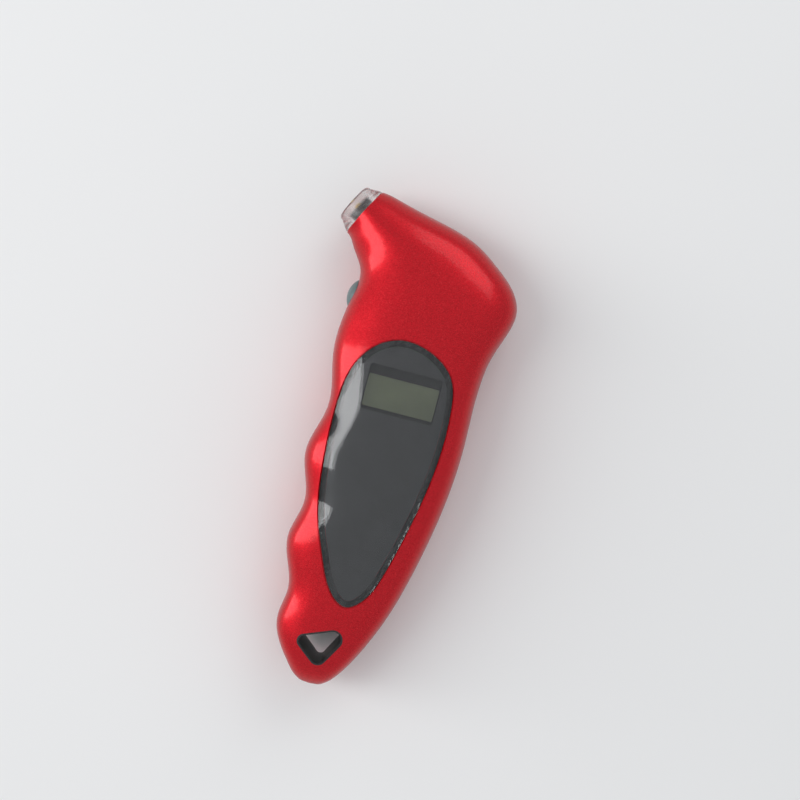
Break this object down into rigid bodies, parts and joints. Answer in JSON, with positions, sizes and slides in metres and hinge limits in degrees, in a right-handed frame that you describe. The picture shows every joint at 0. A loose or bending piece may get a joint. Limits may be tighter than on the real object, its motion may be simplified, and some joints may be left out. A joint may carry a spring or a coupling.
{
  "type": "digital tyre pressure gauge",
  "caption": "Pistol-shaped hand gauge with a leaf-shaped display lens, clear valve nozzle, side button, lanyard hole and battery cover.",
  "frame": {"origin": "centre of the bounding box at the resting surface, with the gauge lying on its back", "axes": "+Y along the grip towards the head, +Z out of the display side, +X towards the palm side; the nozzle points to -X and +Y"},
  "size_m": [0.059, 0.1498, 0.0293],
  "materials": {
    "red_paint": "metallic red lacquer over moulded ABS",
    "clear_lens": "clear acrylic, polished",
    "adhesive": "matt adhesive tape",
    "black_film": "back-printed black film",
    "lcd_glass": "grey-olive reflective display glass",
    "black_plastic": "moulded black plastic, satin",
    "light_guide": "translucent white light guide",
    "rubber": "dark grey moulded rubber",
    "board": "green solder mask",
    "ceramic": "small surface-mounted parts",
    "clear_nozzle": "clear polycarbonate, lightly frosted",
    "brass": "turned brass",
    "silicone": "translucent silicone tube",
    "led": "clear epoxy light",
    "button_grey": "teal-grey moulded rubber-feel button",
    "spring_steel": "nickel-plated spring steel",
    "screw_steel": "zinc-plated steel",
    "cell_steel": "nickel-plated cell can"
  },
  "bodies": {
    "housing": {"front_shell": "red_paint", "rear_shell": "red_paint", "display_lens": "clear_lens", "lens_adhesive": "adhesive", "display_mask": "black_film", "lcd_panel": "lcd_glass", "lcd_bezel": "black_plastic", "lcd_backlight": "light_guide", "zebra_strip": "rubber", "circuit_board": "board", "control_chip": "black_plastic", "board_components": "ceramic", "nozzle_tip": "clear_nozzle", "nozzle_seal": "rubber", "nozzle_stem": "brass", "valve_pin": "brass", "stem_ring": "rubber", "air_tube": "silicone", "pressure_sensor": "black_plastic", "nozzle_led": "led", "lanyard_eyelet": "black_plastic", "tactile_switch": "black_plastic", "battery_spring": "spring_steel", "battery_contact": "spring_steel", "housing_screws": "screw_steel", "battery_cell_1": "cell_steel", "battery_cell_2": "cell_steel", "battery_cell_3": "cell_steel"},
    "power_button": {"power_button": "button_grey", "switch_plunger": "black_plastic"},
    "battery_cover": {"battery_cover": "red_paint"},
    "battery_cover_screw": {"battery_cover_screw": "screw_steel"}
  },
  "joints": [
    {"name": "button_press", "type": "slide", "parent": "housing", "child": "power_button", "axis": [1, 0, 0], "range_m": [0, 0.0008], "stiffness_N_per_m": 400},
    {"name": "cover_lift", "type": "slide", "parent": "housing", "child": "battery_cover", "axis": [0, 0, -1], "range_m": [0, 0.02]},
    {"name": "cover_screw_withdraw", "type": "slide", "parent": "battery_cover", "child": "battery_cover_screw", "axis": [0, 0, -1], "range_m": [0, 0.008]}
  ]
}
